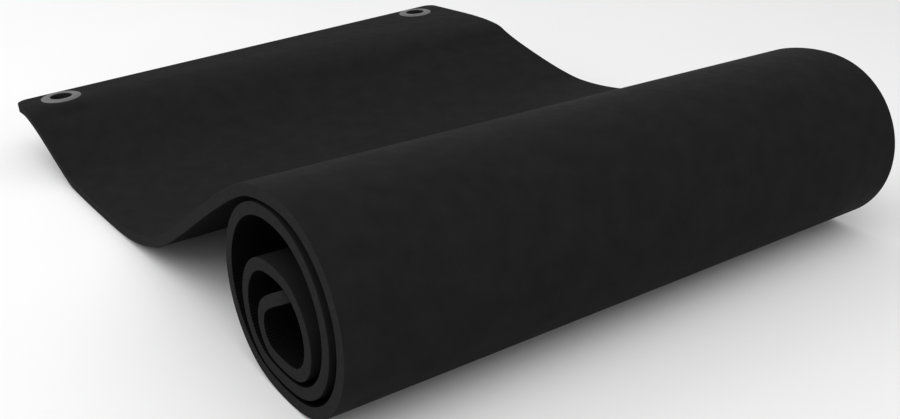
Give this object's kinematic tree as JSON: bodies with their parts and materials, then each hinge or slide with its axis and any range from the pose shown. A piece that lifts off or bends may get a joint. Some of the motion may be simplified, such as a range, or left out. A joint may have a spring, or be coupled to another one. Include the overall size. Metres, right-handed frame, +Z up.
{
  "type": "roll-up exercise mat",
  "caption": "Foam floor mat wound into a roll with its free end lying out, with two hanging eyelets at that end; it unrolls flat.",
  "frame": {"origin": "middle of the bottom of the bounding box, on the floor", "axes": "+X along the mat from its free end to the roll, +Y across its width along the roll, +Z up"},
  "size_m": [0.7478, 0.6138, 0.165],
  "materials": {
    "foam": "dull closed-cell foam",
    "eyelet_metal": "dull grey"
  },
  "bodies": {
    "mat_strip_01": {"mat_strip_01": "foam", "eyelet_barrel_near": "eyelet_metal", "eyelet_washer_near": "eyelet_metal", "eyelet_barrel_far": "eyelet_metal", "eyelet_washer_far": "eyelet_metal"},
    "mat_strip_02": {"mat_strip_02": "foam"},
    "mat_strip_03": {"mat_strip_03": "foam"},
    "mat_strip_04": {"mat_strip_04": "foam"},
    "mat_strip_05": {"mat_strip_05": "foam"},
    "mat_strip_06": {"mat_strip_06": "foam"},
    "mat_strip_07": {"mat_strip_07": "foam"},
    "mat_strip_08": {"mat_strip_08": "foam"},
    "mat_strip_09": {"mat_strip_09": "foam"},
    "mat_strip_10": {"mat_strip_10": "foam"},
    "mat_strip_11": {"mat_strip_11": "foam"},
    "mat_strip_12": {"mat_strip_12": "foam"},
    "mat_strip_13": {"mat_strip_13": "foam"},
    "mat_strip_14": {"mat_strip_14": "foam"},
    "mat_strip_15": {"mat_strip_15": "foam"},
    "mat_strip_16": {"mat_strip_16": "foam"},
    "mat_strip_17": {"mat_strip_17": "foam"},
    "mat_strip_18": {"mat_strip_18": "foam"},
    "mat_strip_19": {"mat_strip_19": "foam"},
    "mat_strip_20": {"mat_strip_20": "foam"},
    "mat_strip_21": {"mat_strip_21": "foam"},
    "mat_strip_22": {"mat_strip_22": "foam"},
    "mat_strip_23": {"mat_strip_23": "foam"},
    "mat_strip_24": {"mat_strip_24": "foam"},
    "mat_strip_25": {"mat_strip_25": "foam"},
    "mat_strip_26": {"mat_strip_26": "foam"},
    "mat_strip_27": {"mat_strip_27": "foam"},
    "mat_strip_28": {"mat_strip_28": "foam"},
    "mat_strip_29": {"mat_strip_29": "foam"},
    "mat_strip_30": {"mat_strip_30": "foam"},
    "mat_strip_31": {"mat_strip_31": "foam"},
    "mat_strip_32": {"mat_strip_32": "foam"},
    "mat_strip_33": {"mat_strip_33": "foam"},
    "mat_strip_34": {"mat_strip_34": "foam"},
    "mat_strip_35": {"mat_strip_35": "foam"},
    "mat_strip_36": {"mat_strip_36": "foam"},
    "mat_strip_37": {"mat_strip_37": "foam"},
    "mat_strip_38": {"mat_strip_38": "foam"},
    "mat_strip_39": {"mat_strip_39": "foam"},
    "mat_strip_40": {"mat_strip_40": "foam"},
    "mat_strip_41": {"mat_strip_41": "foam"},
    "mat_strip_42": {"mat_strip_42": "foam"},
    "mat_strip_43": {"mat_strip_43": "foam"},
    "mat_strip_44": {"mat_strip_44": "foam"},
    "mat_strip_45": {"mat_strip_45": "foam"}
  },
  "joints": [
    {"name": "bend_01", "type": "hinge", "parent": "mat_strip_02", "child": "mat_strip_01", "pos_m": [-0.30916, -0.30551, 0.05632], "axis": [0.1364, 0.9892, 0.0536], "range_deg": [0, 30]},
    {"name": "bend_02", "type": "hinge", "parent": "mat_strip_03", "child": "mat_strip_02", "pos_m": [-0.21952, -0.29827, 0.01034], "axis": [-0.0422, -0.9937, -0.1035], "range_deg": [0, 13.8]},
    {"name": "bend_03", "type": "hinge", "parent": "mat_strip_04", "child": "mat_strip_03", "pos_m": [-0.19718, -0.29724, 0.005], "axis": [-0.1869, -0.9801, -0.0666], "range_deg": [0, 13.8]},
    {"name": "bend_04", "type": "hinge", "parent": "mat_strip_05", "child": "mat_strip_04", "pos_m": [-0.06421, -0.29407, 0.005], "axis": [-0.061, -0.9958, -0.0679], "range_deg": [0, 8.58]},
    {"name": "bend_05", "type": "hinge", "parent": "mat_strip_06", "child": "mat_strip_05", "pos_m": [-0.01774, -0.2934, 0.01197], "axis": [-0.0855, -0.9938, -0.0714], "range_deg": [0, 8.58]},
    {"name": "bend_06", "type": "hinge", "parent": "mat_strip_07", "child": "mat_strip_06", "pos_m": [0.02624, -0.29309, 0.02545], "axis": [-0.1104, -0.9907, -0.0789], "range_deg": [0, 8.58]},
    {"name": "bend_07", "type": "hinge", "parent": "mat_strip_08", "child": "mat_strip_07", "pos_m": [0.06865, -0.29301, 0.04571], "axis": [-0.1323, -0.9872, -0.0892], "range_deg": [0, 8.58]},
    {"name": "bend_08", "type": "hinge", "parent": "mat_strip_09", "child": "mat_strip_08", "pos_m": [0.21815, -0.29301, 0.14655], "axis": [0, 1, 0], "range_deg": [0, 17]},
    {"name": "bend_09", "type": "hinge", "parent": "mat_strip_10", "child": "mat_strip_09", "pos_m": [0.26214, -0.29301, 0.16], "axis": [0, 1, 0], "range_deg": [0, 17]},
    {"name": "bend_10", "type": "hinge", "parent": "mat_strip_11", "child": "mat_strip_10", "pos_m": [0.31058, -0.29301, 0.16], "axis": [0, 1, 0], "range_deg": [0, 30]},
    {"name": "bend_11", "type": "hinge", "parent": "mat_strip_12", "child": "mat_strip_11", "pos_m": [0.3477, -0.29301, 0.13856], "axis": [0, 1, 0], "range_deg": [0, 30]},
    {"name": "bend_12", "type": "hinge", "parent": "mat_strip_13", "child": "mat_strip_12", "pos_m": [0.36914, -0.29301, 0.10144], "axis": [0, 1, 0], "range_deg": [0, 30]},
    {"name": "bend_13", "type": "hinge", "parent": "mat_strip_14", "child": "mat_strip_13", "pos_m": [0.36914, -0.29301, 0.0599], "axis": [0, 1, 0], "range_deg": [0, 30]},
    {"name": "bend_14", "type": "hinge", "parent": "mat_strip_15", "child": "mat_strip_14", "pos_m": [0.34904, -0.29301, 0.0251], "axis": [0, 1, 0], "range_deg": [0, 30]},
    {"name": "unroll", "type": "hinge", "parent": "mat_strip_16", "child": "mat_strip_15", "pos_m": [0.31424, -0.29301, 0.005], "axis": [0, 1, 0], "range_deg": [0, 30]},
    {"name": "bend_16", "type": "hinge", "parent": "mat_strip_16", "child": "mat_strip_17", "pos_m": [0.25238, -0.29301, 0.005], "axis": [0, -1, 0], "range_deg": [0, 30]},
    {"name": "bend_17", "type": "hinge", "parent": "mat_strip_17", "child": "mat_strip_18", "pos_m": [0.2199, -0.29301, 0.02376], "axis": [0, -1, 0], "range_deg": [0, 30]},
    {"name": "bend_18", "type": "hinge", "parent": "mat_strip_18", "child": "mat_strip_19", "pos_m": [0.20114, -0.29301, 0.05624], "axis": [0, -1, 0], "range_deg": [0, 30]},
    {"name": "bend_19", "type": "hinge", "parent": "mat_strip_19", "child": "mat_strip_20", "pos_m": [0.20114, -0.29301, 0.09402], "axis": [0, -1, 0], "range_deg": [0, 30]},
    {"name": "bend_20", "type": "hinge", "parent": "mat_strip_20", "child": "mat_strip_21", "pos_m": [0.22016, -0.29301, 0.12698], "axis": [0, -1, 0], "range_deg": [0, 30]},
    {"name": "bend_21", "type": "hinge", "parent": "mat_strip_21", "child": "mat_strip_22", "pos_m": [0.25312, -0.29301, 0.146], "axis": [0, -1, 0], "range_deg": [0, 30]},
    {"name": "bend_22", "type": "hinge", "parent": "mat_strip_22", "child": "mat_strip_23", "pos_m": [0.29716, -0.29301, 0.146], "axis": [0, -1, 0], "range_deg": [0, 30]},
    {"name": "bend_23", "type": "hinge", "parent": "mat_strip_23", "child": "mat_strip_24", "pos_m": [0.33012, -0.29301, 0.12698], "axis": [0, -1, 0], "range_deg": [0, 30]},
    {"name": "bend_24", "type": "hinge", "parent": "mat_strip_24", "child": "mat_strip_25", "pos_m": [0.34914, -0.29301, 0.09402], "axis": [0, -1, 0], "range_deg": [0, 30]},
    {"name": "bend_25", "type": "hinge", "parent": "mat_strip_25", "child": "mat_strip_26", "pos_m": [0.34914, -0.29301, 0.05962], "axis": [0, -1, 0], "range_deg": [0, 30]},
    {"name": "bend_26", "type": "hinge", "parent": "mat_strip_26", "child": "mat_strip_27", "pos_m": [0.33376, -0.29301, 0.03298], "axis": [0, -1, 0], "range_deg": [0, 30]},
    {"name": "bend_27", "type": "hinge", "parent": "mat_strip_27", "child": "mat_strip_28", "pos_m": [0.30712, -0.29301, 0.0176], "axis": [0, -1, 0], "range_deg": [0, 30]},
    {"name": "bend_28", "type": "hinge", "parent": "mat_strip_28", "child": "mat_strip_29", "pos_m": [0.25768, -0.29301, 0.0176], "axis": [0, -1, 0], "range_deg": [0, 30]},
    {"name": "bend_29", "type": "hinge", "parent": "mat_strip_29", "child": "mat_strip_30", "pos_m": [0.238, -0.29301, 0.02896], "axis": [0, -1, 0], "range_deg": [0, 30]},
    {"name": "bend_30", "type": "hinge", "parent": "mat_strip_30", "child": "mat_strip_31", "pos_m": [0.22664, -0.29301, 0.04864], "axis": [0, -1, 0], "range_deg": [0, 30]},
    {"name": "bend_31", "type": "hinge", "parent": "mat_strip_31", "child": "mat_strip_32", "pos_m": [0.22664, -0.29301, 0.07152], "axis": [0, -1, 0], "range_deg": [0, 30]},
    {"name": "bend_32", "type": "hinge", "parent": "mat_strip_32", "child": "mat_strip_33", "pos_m": [0.23816, -0.29301, 0.09148], "axis": [0, -1, 0], "range_deg": [0, 30]},
    {"name": "bend_33", "type": "hinge", "parent": "mat_strip_33", "child": "mat_strip_34", "pos_m": [0.25812, -0.29301, 0.103], "axis": [0, -1, 0], "range_deg": [0, 30]},
    {"name": "bend_34", "type": "hinge", "parent": "mat_strip_34", "child": "mat_strip_35", "pos_m": [0.29166, -0.29301, 0.103], "axis": [0, -1, 0], "range_deg": [0, 30]},
    {"name": "bend_35", "type": "hinge", "parent": "mat_strip_35", "child": "mat_strip_36", "pos_m": [0.31162, -0.29301, 0.09148], "axis": [0, -1, 0], "range_deg": [0, 30]},
    {"name": "bend_36", "type": "hinge", "parent": "mat_strip_36", "child": "mat_strip_37", "pos_m": [0.32314, -0.29301, 0.07152], "axis": [0, -1, 0], "range_deg": [0, 30]},
    {"name": "bend_37", "type": "hinge", "parent": "mat_strip_37", "child": "mat_strip_38", "pos_m": [0.32314, -0.29301, 0.05201], "axis": [0, -1, 0], "range_deg": [0, 30]},
    {"name": "bend_38", "type": "hinge", "parent": "mat_strip_38", "child": "mat_strip_39", "pos_m": [0.31516, -0.29301, 0.03818], "axis": [0, -1, 0], "range_deg": [0, 30]},
    {"name": "bend_39", "type": "hinge", "parent": "mat_strip_39", "child": "mat_strip_40", "pos_m": [0.30133, -0.29301, 0.0302], "axis": [0, -1, 0], "range_deg": [0, 30]},
    {"name": "bend_40", "type": "hinge", "parent": "mat_strip_40", "child": "mat_strip_41", "pos_m": [0.2671, -0.29301, 0.0302], "axis": [0, -1, 0], "range_deg": [0, 30]},
    {"name": "bend_41", "type": "hinge", "parent": "mat_strip_41", "child": "mat_strip_42", "pos_m": [0.25698, -0.29301, 0.03604], "axis": [0, -1, 0], "range_deg": [0, 30]},
    {"name": "bend_42", "type": "hinge", "parent": "mat_strip_42", "child": "mat_strip_43", "pos_m": [0.25114, -0.29301, 0.04616], "axis": [0, -1, 0], "range_deg": [0, 30]},
    {"name": "bend_43", "type": "hinge", "parent": "mat_strip_43", "child": "mat_strip_44", "pos_m": [0.25114, -0.29301, 0.058], "axis": [0, -1, 0], "range_deg": [0, 30]},
    {"name": "bend_44", "type": "hinge", "parent": "mat_strip_44", "child": "mat_strip_45", "pos_m": [0.25814, -0.29301, 0.07012], "axis": [0, -1, 0], "range_deg": [0, 30]}
  ],
  "couplings": [
    {"joint": "bend_01", "follows": "unroll", "ratio": 1},
    {"joint": "bend_02", "follows": "unroll", "ratio": 0.46},
    {"joint": "bend_03", "follows": "unroll", "ratio": 0.46},
    {"joint": "bend_04", "follows": "unroll", "ratio": 0.28586},
    {"joint": "bend_05", "follows": "unroll", "ratio": 0.28586},
    {"joint": "bend_06", "follows": "unroll", "ratio": 0.28586},
    {"joint": "bend_07", "follows": "unroll", "ratio": 0.28586},
    {"joint": "bend_08", "follows": "unroll", "ratio": 0.56667},
    {"joint": "bend_09", "follows": "unroll", "ratio": 0.56667},
    {"joint": "bend_10", "follows": "unroll", "ratio": 1},
    {"joint": "bend_11", "follows": "unroll", "ratio": 1},
    {"joint": "bend_12", "follows": "unroll", "ratio": 1},
    {"joint": "bend_13", "follows": "unroll", "ratio": 1},
    {"joint": "bend_14", "follows": "unroll", "ratio": 1},
    {"joint": "bend_16", "follows": "unroll", "ratio": 1},
    {"joint": "bend_17", "follows": "unroll", "ratio": 1},
    {"joint": "bend_18", "follows": "unroll", "ratio": 1},
    {"joint": "bend_19", "follows": "unroll", "ratio": 1},
    {"joint": "bend_20", "follows": "unroll", "ratio": 1},
    {"joint": "bend_21", "follows": "unroll", "ratio": 1},
    {"joint": "bend_22", "follows": "unroll", "ratio": 1},
    {"joint": "bend_23", "follows": "unroll", "ratio": 1},
    {"joint": "bend_24", "follows": "unroll", "ratio": 1},
    {"joint": "bend_25", "follows": "unroll", "ratio": 1},
    {"joint": "bend_26", "follows": "unroll", "ratio": 1},
    {"joint": "bend_27", "follows": "unroll", "ratio": 1},
    {"joint": "bend_28", "follows": "unroll", "ratio": 1},
    {"joint": "bend_29", "follows": "unroll", "ratio": 1},
    {"joint": "bend_30", "follows": "unroll", "ratio": 1},
    {"joint": "bend_31", "follows": "unroll", "ratio": 1},
    {"joint": "bend_32", "follows": "unroll", "ratio": 1},
    {"joint": "bend_33", "follows": "unroll", "ratio": 1},
    {"joint": "bend_34", "follows": "unroll", "ratio": 1},
    {"joint": "bend_35", "follows": "unroll", "ratio": 1},
    {"joint": "bend_36", "follows": "unroll", "ratio": 1},
    {"joint": "bend_37", "follows": "unroll", "ratio": 1},
    {"joint": "bend_38", "follows": "unroll", "ratio": 1},
    {"joint": "bend_39", "follows": "unroll", "ratio": 1},
    {"joint": "bend_40", "follows": "unroll", "ratio": 1},
    {"joint": "bend_41", "follows": "unroll", "ratio": 1},
    {"joint": "bend_42", "follows": "unroll", "ratio": 1},
    {"joint": "bend_43", "follows": "unroll", "ratio": 1},
    {"joint": "bend_44", "follows": "unroll", "ratio": 1}
  ]
}
